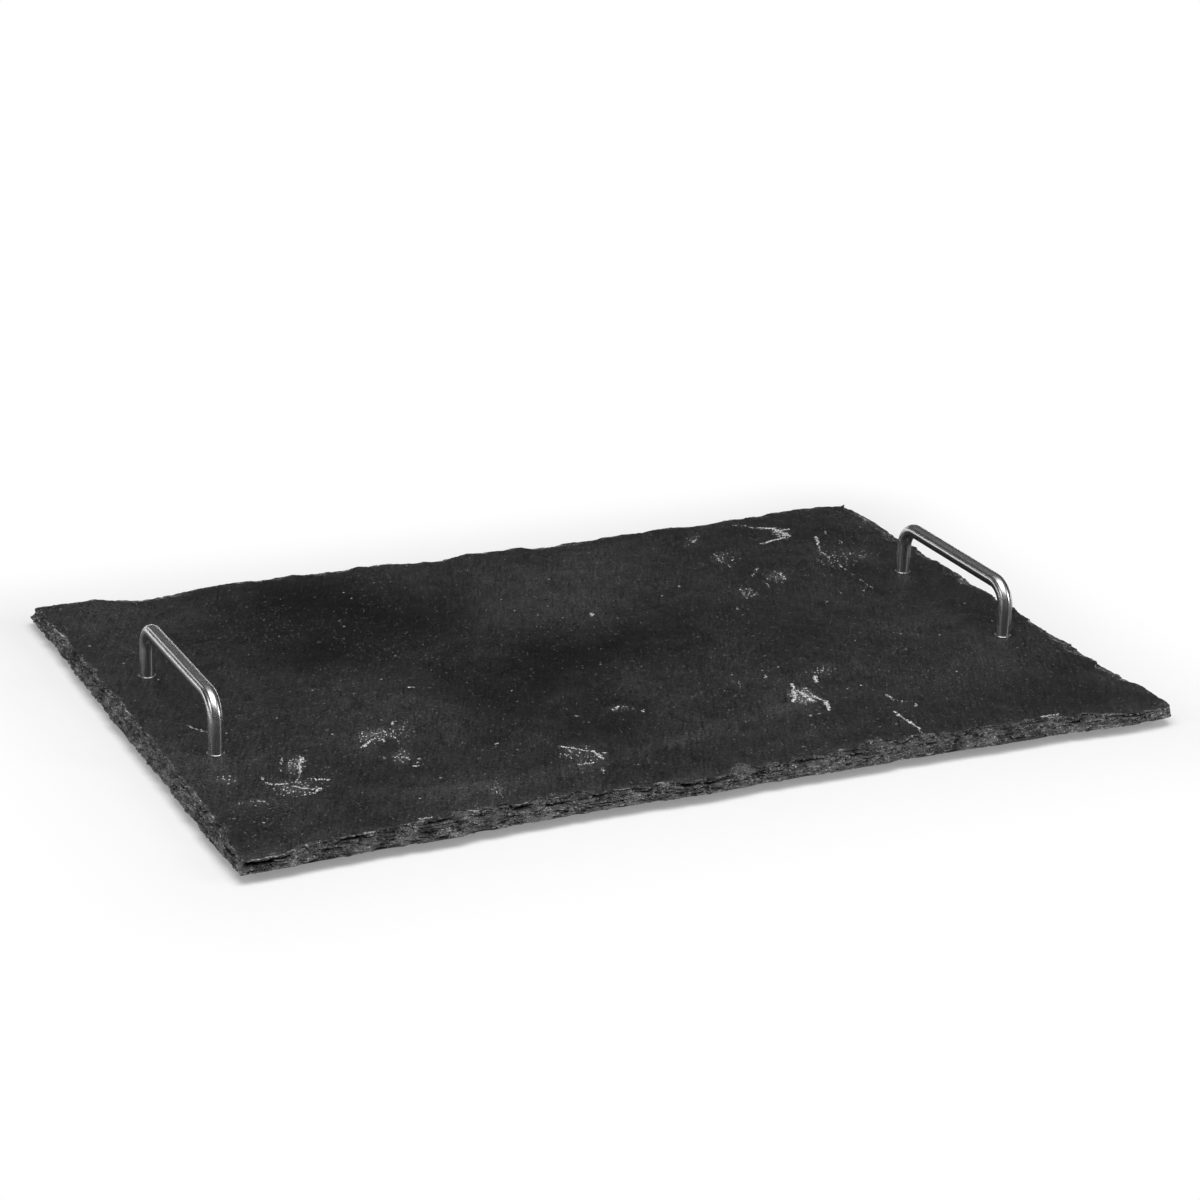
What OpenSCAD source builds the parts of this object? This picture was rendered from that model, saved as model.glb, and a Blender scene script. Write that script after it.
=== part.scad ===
// Slate serving board: a hewn slate slab with a bent rod handle screwed to each end.
// It stands on the plane z = 0, centred in x and y. Its length runs along x, and y runs
// from the front edge to the rear edge.

/* [Slate] */
// Length of the slate over its hewn flanks
slate_l = 455; // [300:5:600]
// Width of the slate over its hewn flanks
slate_w = 308; // [200:4:400]
// Thickness of the slate
slate_t = 5; // [4:0.5:8]
// Greatest width of the hewn slope, from the top rim out to the underside's rim
hewn_w = 9; // [4:0.5:12]
// How far the underside's rim wanders in from its straight line
wander = 4.5; // [1:0.5:6]
// Depth of the chips on the hewn slope and along the top rim
chip_depth = 1.6; // [0.4:0.2:2.4]
// Length of one chipped facet along the rim
facet_l = 6; // [5:0.5:12]
// Largest broken corner of the slab
corner_r = 9; // [4:1:14]
// Number that picks another pattern of chips
chip_pattern = 31; // [1:1:99]

/* [Handles] */
// Distance between the two legs of a handle, centre to centre
leg_spacing = 94; // [60:2:160]
// Distance from the slate's end to the middle of the legs
leg_inset = 29; // [24:1:60]
// How far the handles sit behind the slab's middle, to be centred on its top face
handle_shift = 1.5; // [-4:0.5:4]
// Diameter of the handle's rod
rod_d = 7; // [6.5:0.5:10]
// Height of a handle from its feet to its top
handle_h = 27.5; // [27:0.5:45]
// Radius of the two bends, at the middle of the rod
bend_r = 11; // [7:0.5:11.5]
// Chamfer round the foot of a leg
rod_chamfer = 0.4; // [0.2:0.1:0.8]
// How far the tapped hole in a leg runs on past the screw's tip
tap_spare = 2.5; // [0.5:0.5:3.5]

/* [Screws and washers] */
// Diameter of a screw's shank
screw_d = 4; // [3:0.5:4.5]
// Length of a screw under its head
screw_l = 16; // [12:1:17]
// Diameter of a screw's pan head
head_d = 8; // [7:0.5:9]
// Height of a screw's pan head
head_h = 2.4; // [1.8:0.1:2.6]
// Rounding of the pan head's edge
head_edge_r = 1.1; // [0.5:0.1:1.2]
// Length of each slot of the cross recess
recess_l = 4.4; // [3:0.2:5]
// Width of each slot of the cross recess
recess_w = 0.9; // [0.6:0.1:1.2]
// Depth of the cross recess
recess_depth = 1.5; // [0.8:0.1:1.6]
// Chamfer at the tip of a screw
tip_chamfer = 0.5; // [0.2:0.1:0.8]
// Diameter of the wide washer under a screw's head
wide_washer_d = 12; // [9:0.5:16]
// Thickness of the wide washer
wide_washer_t = 1; // [0.6:0.1:1.4]
// How far the thin washer under a leg shows all round it
leg_washer_lip = 0.5; // [0.3:0.1:3]
// Thickness of the thin washer
leg_washer_t = 0.5; // [0.3:0.1:1]

/* [Feet] */
// Diameter of a rubber foot where it is stuck to the slate
foot_d = 12; // [8:0.5:20]
// Diameter of a rubber foot where it stands
foot_tip_d = 10; // [7:0.5:18]
// Height of a rubber foot
foot_h = 4.5; // [4:0.5:10]
// Rounding of the foot's lower edge
foot_edge_r = 0.8; // [0.4:0.1:1.2]
// Distance from the slate's edges to the middle of a foot
foot_inset = 25; // [21:1:60]

/* [Clearances] */
// Gap all round between a screw and its tapped hole
thread_gap = 0.05; // [0.02:0.01:0.1]
// Gap all round between a screw and a washer's hole
washer_gap = 0.15; // [0.1:0.05:0.3]
// Gap all round between a screw and the slate's hole
slate_gap = 0.5; // [0.3:0.1:1]

/* [Hidden] */
$fn = 96;

// Signs of the two ends and of the two long edges
left = -1;
right = 1;
front = -1;
rear = 1;

// How far a cutting shape runs past the face that it cuts
overrun = 0.5;

// Heights of the faces that the pieces stand on
underside_z = foot_h;
top_z = underside_z + slate_t;
handle_z = top_z + leg_washer_t;
head_top_z = underside_z - wide_washer_t;

// Places of the legs and of the feet
leg_x = slate_l / 2 - leg_inset;
leg_y = leg_spacing / 2;
foot_x = slate_l / 2 - foot_inset;
foot_y = slate_w / 2 - foot_inset;

// The straight stretches of a handle
leg_l = handle_h - rod_d / 2 - bend_r;
bar_l = leg_spacing - 2 * bend_r;

// How far a screw reaches into its leg, and the depth of the tapped hole there
grip = screw_l - wide_washer_t - slate_t - leg_washer_t;
tap_depth = grip + tap_spare;

// Diameter of the thin washer under a leg
leg_washer_d = rod_d + 2 * leg_washer_lip;

// The middle of a leg, at height z
function leg_place(end, edge, z) = [end * leg_x, handle_shift + edge * leg_y, z];

// The slab's four sides in turn, anticlockwise from above: front, right, rear, left.
side_lengths = [slate_l, slate_w, slate_l, slate_w];
facet_counts = [for (side = side_lengths) round(side / facet_l)];

// How far in the underside's rim lies at even steps along each side, of wander
wander_shares = [
  [0, 0.15, 0.3, 0.25, 0.7, 0.85, 0.85, 0.5, 0.9, 0.85, 0.8, 0.85, 0.7, 0.75, 0.3, 0.5],
  [0.3, 0.05, 0.1, 0, 0.1, 0.1, 0.05, 0.1, 0, 0, 0.1],
  [0.1, 0, 0.1, 0.3, 0.2, 0.4, 0.3, 0.4, 0.5, 0.3, 0.2, 0.1, 0.3, 0.5, 0.2, 0.3],
  [0.6, 0.55, 0.5, 0.3, 0.35, 0.2, 0.15, 0.1, 0.05, 0, 0.2]
];
// How wide the hewn slope is at even steps along each side, of hewn_w
slope_shares = [
  [0.55, 0.65, 0.9, 1, 1, 0.7, 0.5, 0.35, 0.55, 0.8, 0.9, 1, 0.9, 0.7, 0.55, 0.3],
  [0.3, 0.2, 0.3, 0.2, 0.25, 0.2, 0.25, 0.2, 0.2, 0.25, 0.3],
  [0.3, 0.05, 0.15, 0.3, 0.25, 0.4, 0.6, 0.2, 0.45, 0.5, 0.65, 0.6, 0.85, 0.4, 0.4, 0.35,
   0.8, 0.8, 0.3, 0.35, 0.45, 0.45, 0.2, 0.45, 0.1, 0.45, 0.85, 0.95, 0.25, 0.2, 0.3],
  [0.15, 0.3, 0.5, 0.55, 0.6, 0.7, 0.75, 0.7, 0.6, 0.6, 0.55]
];
// How much of the largest broken corner follows each side
corner_shares = [0.6, 0.15, 0.45, 0.2];
// Steps up the hewn slope: height, way in and depth of the chips at each
level_height_shares = [0, 0.3, 0.62, 1];
level_slope_shares = [0, 0.35, 0.7, 1];
level_chip_shares = [0.35, 1, 1, 0.9];
levels = len(level_height_shares);
// Segments of the arc that rounds a corner
corner_steps = 3;

// The value at a part u of the way along a list of evenly spaced shares
function along(shares, u) =
  let (last = len(shares) - 1)
  let (before = min(floor(u * last), last - 1))
  let (rest = u * last - before)
  shares[before] * (1 - rest) + shares[before + 1] * rest;

// One random number for each facet joint of a side at a level
chips = [for (level = [0 : levels - 1])
  [for (side = [0 : 3])
    rands(0, 1, facet_counts[side] + 1, chip_pattern + level * len(side_lengths) + side)]];

// How far in from its straight line the rim lies at facet joint i, before it is set out
function raw_inset(side, level, i) =
  let (u = i / facet_counts[side])
  wander * along(wander_shares[side], u)
    + hewn_w * along(slope_shares[side], u) * level_slope_shares[level]
    + chip_depth * chips[level][side][i] * level_chip_shares[level];

// Each side is set out so that the underside's rim just reaches its straight line
set_outs = [for (side = [0 : 3])
  min([for (i = [0 : facet_counts[side]]) raw_inset(side, 0, i)])];
function inset(side, level, i) = raw_inset(side, level, i) - set_outs[side];
function next_side(side) = (side + 1) % 4;
function last_side(side) = (side + 3) % 4;

// A point t along a side, measured from its middle, and e in from its straight line
function place(side, t, e) =
  side == 0 ? [t, -slate_w / 2 + e] :
  side == 1 ? [slate_l / 2 - e, t] :
  side == 2 ? [-t, slate_w / 2 - e] :
  [-slate_l / 2 + e, -t];

// One side's stretch of rim between its two corners
function side_rim(side, level) =
  let (before = last_side(side))
  let (after = next_side(side))
  let (half = side_lengths[side] / 2)
  let (start = inset(before, level, facet_counts[before]) + corner_r * corner_shares[before] - half)
  let (end = half - inset(after, level, 0) - corner_r * corner_shares[side])
  [for (i = [0 : facet_counts[side]])
    place(side, start + (end - start) * i / facet_counts[side], inset(side, level, i))];

// The inner points of the arc that turns one side into the next
function corner_rim(side, level) =
  let (r = corner_r * corner_shares[side])
  let (middle_t = side_lengths[side] / 2 - inset(next_side(side), level, 0) - r)
  let (middle_e = inset(side, level, facet_counts[side]) + r)
  [for (step = [1 : corner_steps - 1])
    place(side,
      middle_t + r * sin(90 * step / corner_steps),
      middle_e - r * cos(90 * step / corner_steps))];

// The whole rim at a level, as points in space
function rim(level) =
  [for (side = [0 : 3])
    for (point = concat(side_rim(side, level), corner_rim(side, level)))
      [point[0], point[1], underside_z + slate_t * level_height_shares[level]]];

// Triangles over the inside of a rim, seen from below. The rim's points are numbered from
// first_point on, and the middles of its left and right halves from first_middle on.
function flat_face(points, first_point, first_middle) =
  let (count = len(points))
  let (middle = [for (point = points) first_middle + (point[0] < 0 ? 0 : 1)])
  [for (j = [0 : count - 1])
    let (next = (j + 1) % count)
    for (triangle = [
      [first_point + j, first_point + next, middle[j]],
      if (middle[j] != middle[next]) [first_point + next, middle[next], middle[j]]])
      triangle];

// The slab without its holes: one rim on another, with flat faces below and above. Each
// flat face is laid as triangles from its rim to the middle of the nearer half.
module hewn_slab() {
  rims = [for (level = [0 : levels - 1]) rim(level)];
  count = len(rims[0]);
  middles = [for (z = [underside_z, top_z]) for (end = [left, right]) [end * slate_l / 4, 0, z]];
  first_middle = levels * count;
  top_rim = (levels - 1) * count;
  underside = flat_face(rims[0], 0, first_middle);
  top = [for (triangle = flat_face(rims[levels - 1], top_rim, first_middle + 2))
    [triangle[2], triangle[1], triangle[0]]];
  slope = [for (level = [0 : levels - 2])
    for (j = [0 : count - 1])
      let (low = level * count + j)
      let (low_next = level * count + (j + 1) % count)
      for (triangle = [
        [low, low + count, low_next + count],
        [low, low_next + count, low_next]])
        triangle];
  polyhedron(
    points = concat([for (r = rims) for (p = r) p], middles),
    faces = concat(underside, top, slope));
}

module slate_board() {
  color([0.13, 0.13, 0.14])
    difference() {
      hewn_slab();
      for (end = [left, right])
        for (edge = [front, rear])
          translate(leg_place(end, edge, underside_z - overrun))
            cylinder(h = slate_t + 2 * overrun, d = screw_d + 2 * slate_gap);
    }
}

// One straight leg, its foot chamfered, and the bend above it
module leg_and_bend() {
  translate([0, leg_y, 0]) {
    cylinder(h = rod_chamfer, d1 = rod_d - 2 * rod_chamfer, d2 = rod_d);
    translate([0, 0, rod_chamfer])
      cylinder(h = leg_l - rod_chamfer, d = rod_d);
  }
  translate([0, leg_y - bend_r, leg_l])
    rotate([90, 0, 90])
      rotate_extrude(angle = 90)
        translate([bend_r, 0])
          circle(d = rod_d);
}

// The rod bent to a bow, standing on its feet
module bent_rod() {
  leg_and_bend();
  mirror([0, 1, 0])
    leg_and_bend();
  translate([0, bar_l / 2, leg_l + bend_r])
    rotate([90, 0, 0])
      cylinder(h = bar_l, d = rod_d);
}

module handle(end) {
  color([0.72, 0.73, 0.74])
    translate([end * leg_x, handle_shift, handle_z])
      difference() {
        bent_rod();
        for (edge = [front, rear])
          translate([0, edge * leg_y, -overrun])
            cylinder(h = tap_depth + overrun, d = screw_d + 2 * thread_gap);
      }
}

// A flat ring with its lower face at z = 0
module washer(outer_d, thickness) {
  difference() {
    cylinder(h = thickness, d = outer_d);
    translate([0, 0, -overrun])
      cylinder(h = thickness + 2 * overrun, d = screw_d + 2 * washer_gap);
  }
}

module leg_washer(end, edge) {
  color([0.6, 0.61, 0.62])
    translate(leg_place(end, edge, top_z))
      washer(leg_washer_d, leg_washer_t);
}

module wide_washer(end, edge) {
  color([0.66, 0.67, 0.68])
    translate(leg_place(end, edge, head_top_z))
      washer(wide_washer_d, wide_washer_t);
}

// The pan head's half outline, with its lower outer edge rounded
module head_outline() {
  translate([0, -head_h]) {
    square([head_d / 2 - head_edge_r, head_h]);
    translate([0, head_edge_r])
      square([head_d / 2, head_h - head_edge_r]);
    intersection() {
      translate([head_d / 2 - head_edge_r, head_edge_r])
        circle(r = head_edge_r);
      square([head_d / 2, head_h]);
    }
  }
}

module screw(end, edge) {
  color([0.7, 0.71, 0.73])
    translate(leg_place(end, edge, head_top_z))
      difference() {
        union() {
          rotate_extrude()
            head_outline();
          cylinder(h = screw_l - tip_chamfer, d = screw_d);
          translate([0, 0, screw_l - tip_chamfer])
            cylinder(h = tip_chamfer, d1 = screw_d, d2 = screw_d - 2 * tip_chamfer);
        }
        for (turn = [0, 90])
          rotate([0, 0, turn])
            translate([-recess_l / 2, -recess_w / 2, -head_h - overrun])
              cube([recess_l, recess_w, recess_depth + overrun]);
      }
}

// The foot's half outline, narrower where it stands and rounded at its lower edge
module foot_outline() {
  tip_r = foot_tip_d / 2;
  polygon([
    [0, 0],
    [tip_r - foot_edge_r, 0],
    [tip_r, foot_edge_r],
    [foot_d / 2, foot_h],
    [0, foot_h]
  ]);
  translate([tip_r - foot_edge_r, foot_edge_r])
    circle(r = foot_edge_r);
}

module foot(end, edge) {
  color([0.08, 0.08, 0.08])
    translate([end * foot_x, edge * foot_y, 0])
      rotate_extrude()
        foot_outline();
}

slate_board();
handle(left);  // left_handle
handle(right);  // right_handle
leg_washer(left, front);  // front_left_leg_washer
leg_washer(left, rear);  // rear_left_leg_washer
leg_washer(right, front);  // front_right_leg_washer
leg_washer(right, rear);  // rear_right_leg_washer
screw(left, front);  // front_left_screw
screw(left, rear);  // rear_left_screw
screw(right, front);  // front_right_screw
screw(right, rear);  // rear_right_screw
wide_washer(left, front);  // front_left_wide_washer
wide_washer(left, rear);  // rear_left_wide_washer
wide_washer(right, front);  // front_right_wide_washer
wide_washer(right, rear);  // rear_right_wide_washer
foot(left, front);  // front_left_foot
foot(left, rear);  // rear_left_foot
foot(right, front);  // front_right_foot
foot(right, rear);  // rear_right_foot
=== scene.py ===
# %% [markdown]
# # A slate serving board with two rod handles
# The board is a thin slab of split slate. Its four edges were struck off with a hammer, so they
# slope and show the thin layers of the stone. Near each end a bent steel rod stands on two legs
# as a handle, and each leg is held from below by a screw. Four rubber feet lift the board.
#
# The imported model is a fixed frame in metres, with +Z up and the feet on z = 0. Each piece made
# here takes its place from that frame, so nothing has to be fitted by hand.

# %% Load the fixed frame
import math

import bmesh
import bpy
import numpy as np
from mathutils import Matrix, Vector, noise


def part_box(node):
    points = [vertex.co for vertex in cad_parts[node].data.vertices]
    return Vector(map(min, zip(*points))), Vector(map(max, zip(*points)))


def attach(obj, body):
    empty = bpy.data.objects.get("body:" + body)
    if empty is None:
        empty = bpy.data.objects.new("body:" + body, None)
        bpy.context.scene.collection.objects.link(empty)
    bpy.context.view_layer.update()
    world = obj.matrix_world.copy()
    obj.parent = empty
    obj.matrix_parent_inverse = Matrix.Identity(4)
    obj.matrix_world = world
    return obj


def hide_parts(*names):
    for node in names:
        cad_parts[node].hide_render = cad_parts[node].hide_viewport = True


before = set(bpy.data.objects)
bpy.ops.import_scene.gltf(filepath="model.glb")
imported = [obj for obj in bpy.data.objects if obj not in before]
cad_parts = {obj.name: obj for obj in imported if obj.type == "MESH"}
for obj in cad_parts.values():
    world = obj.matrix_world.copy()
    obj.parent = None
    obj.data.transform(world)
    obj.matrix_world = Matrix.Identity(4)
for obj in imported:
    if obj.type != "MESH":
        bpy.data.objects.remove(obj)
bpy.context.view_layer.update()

MM = 0.001
ROOT = "root"
ENDS = ("left", "right")
EDGES = ("front", "rear")
CORNERS = [f"{edge}_{end}" for end in ENDS for edge in EDGES]


def put_in_scene(name, data):
    """A new object in the scene, with that mesh, camera or lamp as its data."""
    thing = bpy.data.objects.new(name, data)
    bpy.context.scene.collection.objects.link(thing)
    return thing


print("fixed nodes:", len(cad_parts))

# %% [markdown]
# ## The camera
# The photograph was taken with a long lens from the front left, a little above the board. The
# board's edges, its legs and its handle bars fix the place of the lens to about a pixel. The
# camera comes first, so that every later step can be judged from the right place.

# %% Camera
SENSOR = 36.0
LENS = 95.204
CAMERA_PLACE = Vector((-0.6069, -1.2330, 0.5575))
CAMERA_PAN, CAMERA_TILT, CAMERA_ROLL = (math.radians(a) for a in (26.385, 20.724, -2.201))


def aim_camera(place, pan, tilt, roll):
    """A camera that pans to the right of +Y, tilts down and rolls, in that order."""
    level = math.cos(tilt)
    forward = Vector((math.sin(pan) * level, math.cos(pan) * level, -math.sin(tilt)))
    right = Vector((math.cos(pan), -math.sin(pan), 0))
    down = forward.cross(right)
    rolled_right = right * math.cos(roll) + down * math.sin(roll)
    rolled_down = down * math.cos(roll) - right * math.sin(roll)
    turn = Matrix((rolled_right, -rolled_down, -forward)).transposed()
    data = bpy.data.cameras.new("camera")
    data.sensor_width = SENSOR
    data.lens = LENS
    data.clip_start = 0.01
    camera = put_in_scene("camera", data)
    camera.matrix_world = Matrix.Translation(place) @ turn.to_4x4()
    return camera


bpy.context.scene.camera = aim_camera(CAMERA_PLACE, CAMERA_PAN, CAMERA_TILT, CAMERA_ROLL)
print("camera at", tuple(round(c, 3) for c in CAMERA_PLACE))

# %% [markdown]
# ## Helpers for new pieces
# A piece starts as a bmesh, is shaped by operators and then becomes an object that sits at the
# origin, with its place in its mesh. It rides on the frame's one body, takes its finish, and hides
# the fixed node that it stands for.

# %% Turn a bmesh into a piece


def loose_object(bm, name):
    """The bmesh as a plain object."""
    mesh = bpy.data.meshes.new(name)
    bm.to_mesh(mesh)
    bm.free()
    return put_in_scene(name, mesh)


def finished(bm, name, node, material, sharp_deg=35, recalc=True):
    """The bmesh as a piece named name, in place of a fixed node."""
    if recalc:
        bmesh.ops.recalc_face_normals(bm, faces=bm.faces)
    piece = loose_object(bm, name)
    piece.data.shade_smooth()
    piece.data.set_sharp_from_angle(angle=math.radians(sharp_deg))
    piece.data.materials.append(material)
    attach(piece, ROOT)
    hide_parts(node)
    return piece


def middle(node):
    """The middle of a fixed node's box."""
    low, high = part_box(node)
    return (low + high) / 2


def base_point(node):
    """The point under the middle of a fixed node, level with its lowest point."""
    low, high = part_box(node)
    return Vector(((low.x + high.x) / 2, (low.y + high.y) / 2, low.z))


# %% [markdown]
# ## Helpers for finishes
# A finish is a small tree of nodes. These helpers add a node with its inputs already wired, so
# that each finish below reads as a list of steps. The renderer works a tree through in the order
# in which its nodes were made, but puts off the clamps of its nodes to the end. The slate has over
# a hundred marks, so the helpers use no clamp option: else all marks would be held at once, and
# the tree would outgrow the renderer's memory for one finish.

# %% Node helpers


def add(tree, kind, sources=None, **settings):
    """A node of that kind, with its settings made and its inputs set or linked."""
    node = tree.nodes.new(kind)
    for setting, value in settings.items():
        setattr(node, setting, value)
    for key, value in (sources or {}).items():
        if isinstance(value, bpy.types.NodeSocket):
            tree.links.new(value, node.inputs[key])
        else:
            node.inputs[key].default_value = value
    return node


def maths(tree, operation, a, b=0.0):
    """One sum of two numbers."""
    return add(tree, "ShaderNodeMath", {0: a, 1: b}, operation=operation).outputs[0]


def chain(tree, operation, first, others):
    """The values joined one after another by the same sum."""
    for value in others:
        first = maths(tree, operation, first, value)
    return first


def plus(tree, first, *others):
    return chain(tree, "ADD", first, others)


def times(tree, first, *others):
    return chain(tree, "MULTIPLY", first, others)


def highest(tree, first, *others):
    return chain(tree, "MAXIMUM", first, others)


def held(tree, value):
    """The value held between 0 and 1."""
    return highest(tree, maths(tree, "MINIMUM", value, 1.0), 0.0)


def vectors(tree, operation, a, b=(0, 0, 0), result="Vector"):
    """One sum of two vectors."""
    return add(tree, "ShaderNodeVectorMath", {0: a, 1: b}, operation=operation).outputs[result]


def scaled(tree, vector, by):
    """A colour or a vector, by a number."""
    return add(tree, "ShaderNodeVectorMath", {0: vector, "Scale": by}, operation="SCALE").outputs[0]


def height_of(tree, place):
    return add(tree, "ShaderNodeSeparateXYZ", {0: place}).outputs[2]


def drawn_from(tree, name, result="Fac"):
    """What a piece's mesh stores under that name."""
    return add(tree, "ShaderNodeAttribute", attribute_name=name).outputs[result]


def span(tree, value, low, high, to_low=0.0, to_high=1.0):
    """The value carried smoothly from one span to another, and held at its ends."""
    node = add(tree, "ShaderNodeMapRange", {"Value": value, "From Min": low, "From Max": high,
               "To Min": to_low, "To Max": to_high}, interpolation_type="SMOOTHSTEP", clamp=False)
    return node.outputs[0]


def laid(tree, place, sizes, turn=0.0):
    """The place counted in lumps of those sizes in metres, turned about Z."""
    return add(tree, "ShaderNodeMapping", {"Vector": place, "Rotation": (0, 0, turn), "Scale": sizes},
               vector_type="TEXTURE").outputs[0]


def cloud(tree, place, size, detail=2.0, roughness=0.5, turn=0.0):
    """Soft noise in lumps of that size in metres, or of three sizes along the turned axes."""
    sizes = (size, size, size) if isinstance(size, float) else size
    return add(tree, "ShaderNodeTexNoise", {"Vector": laid(tree, place, sizes, turn), "Scale": 1.0,
               "Detail": detail, "Roughness": roughness}).outputs["Fac"]


def grains(tree, place, size, turn=0.0):
    """Cells of that size: the distance to each cell's heart, and a number and a place for each."""
    sizes = (size, size, size) if isinstance(size, float) else size
    cells = add(tree, "ShaderNodeTexVoronoi", {"Vector": laid(tree, place, sizes, turn), "Scale": 1.0},
                voronoi_dimensions="2D")
    parts = add(tree, "ShaderNodeSeparateColor", {0: cells.outputs["Color"]})
    return cells.outputs["Distance"], parts.outputs[0], parts.outputs[1]


def sway(tree, noise_value, amount):
    """A noise value turned into a change about zero."""
    return times(tree, maths(tree, "SUBTRACT", noise_value, 0.5), amount)


def blend(tree, share, a, b):
    """The second colour over the first, by share."""
    node = add(tree, "ShaderNodeMix", {0: share}, data_type="RGBA")
    for key, colour in ((6, a), (7, b)):
        if isinstance(colour, bpy.types.NodeSocket):
            tree.links.new(colour, node.inputs[key])
        else:
            node.inputs[key].default_value = colour
    return node.outputs[2]


def grey(level):
    """A neutral colour."""
    return (level, level, level, 1.0)


def new_finish(name):
    """A material with an empty tree, its shader and its object coordinates."""
    material = bpy.data.materials.new(name)
    material.use_nodes = True
    tree = material.node_tree
    shader = tree.nodes["Principled BSDF"]
    place = add(tree, "ShaderNodeTexCoord").outputs["Object"]
    return material, tree, shader, place


def wire(tree, shader, colour, roughness, height, strength, depth):
    """The shader's colour and roughness, and a bump of that depth in metres."""
    tree.links.new(colour, shader.inputs["Base Color"])
    tree.links.new(roughness, shader.inputs["Roughness"])
    bump = add(tree, "ShaderNodeBump", {"Height": height, "Strength": strength, "Distance": depth})
    tree.links.new(bump.outputs[0], shader.inputs["Normal"])


# %% [markdown]
# ## Slate
# Slate splits along thin layers. The split face is nearly black, cloudy, and crossed by faint
# drawn lines. Struck edges are a lighter grey; the sparkle of their mica is painted into the colour
# as white glints, the shade in their cracks and pits is painted dark, and their lips carry a painted
# highlight. Use leaves pale scuffs and flecks, and pale specks among them are painted glints. All
# of it is procedural: clouds at several sizes give the tone, soft ovals and bands darken or lighten
# the places where the real board does, partly its own tone and partly painted shade and sheen, and
# thin strokes with a gritty break stand for the scuffs. Places are in the board's own millimetres.

# %% Places of the tones, the painted shade and sheen, and the marks
# Soft ovals, partly the stone's own tone and partly painted shade and sheen: x, y, half length,
# half width, turn in degrees, change of tone
TONE_AND_SHADE_OVALS = [
    (-92, 84, 82, 92, 0, -0.44), (-40, -8, 62, 70, -20, -0.22), (38, 4, 98, 62, -12, -0.26),
    (-30, -70, 60, 34, -10, -0.12), (20, 84, 66, 56, 0, 0.24), (-215, 40, 50, 170, 0, 0.12),
    (-124, -52, 46, 44, 20, 0.16), (-212, -80, 40, 60, 0, 0.14), (120, -120, 120, 34, 3, -0.08),
    # The ovals at (-201, -56) and (196, 40) are a painted reflection of the legs on the slate under their
    # feet
    (66, -84, 34, 22, 5, 0.16), (-201, -56, 9, 15, 0, 0.22), (196, 40, 10, 14, -25, 0.20),
    (-190, 120, 60, 34, 0, 0.10), (60, 110, 60, 40, -10, 0.08), (128, -20, 44, 40, 0, -0.12),
    (-100, -122, 70, 30, 5, 0.12), (170, -40, 40, 60, 0, 0.10),
]
# Soft light bands, partly the stone's own tone and partly a painted sheen on its low ridges: from
# x, y to x, y, width, change of tone
TONE_AND_SHEEN_BANDS = [
    (-140, -114, -98, -119, 8, 0.24), (-98, -119, -60, -116, 9, 0.16), (-60, -116, -8, -104, 9, 0.18),
    (-8, -104, 50, -88, 8, 0.20), (50, -88, 68, -86, 5, 0.45), (-226, -150, 226, -150, 20, 0.22),
]
# Scuffed ovals: x, y, half length, half width, turn in degrees, strength
SCUFF_OVALS = [
    (-171, -69, 15, 6, 62, 0.62), (-180, -90, 15, 12, -30, 0.50), (-127, -51, 15, 10, 20, 0.66),
    (-125, -77, 13, 6, 62, 0.45), (-115, -52, 18, 5, 62, 0.30), (71, -77, 14, 8, 70, 1.00),
    (96, -54, 14, 8, 40, 0.30), (168, 121, 12, 6, 80, 1.00), (-52, -102, 16, 12, -60, 0.36),
    (135, 64, 12, 9, 60, 0.42), (110, 49, 10, 7, 62, 0.40), (122, 96, 16, 10, 60, 0.26),
    (-203, -72, 6, 6, 0, 0.45), (-101, -123, 12, 4, 65, 0.34), (-200, -99, 14, 5, 0, 0.30),
    (118, 126, 16, 6, 50, 0.24), (-14, -62, 10, 6, 0, 0.30), (180, 78, 26, 18, 0, 0.20),
]
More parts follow.
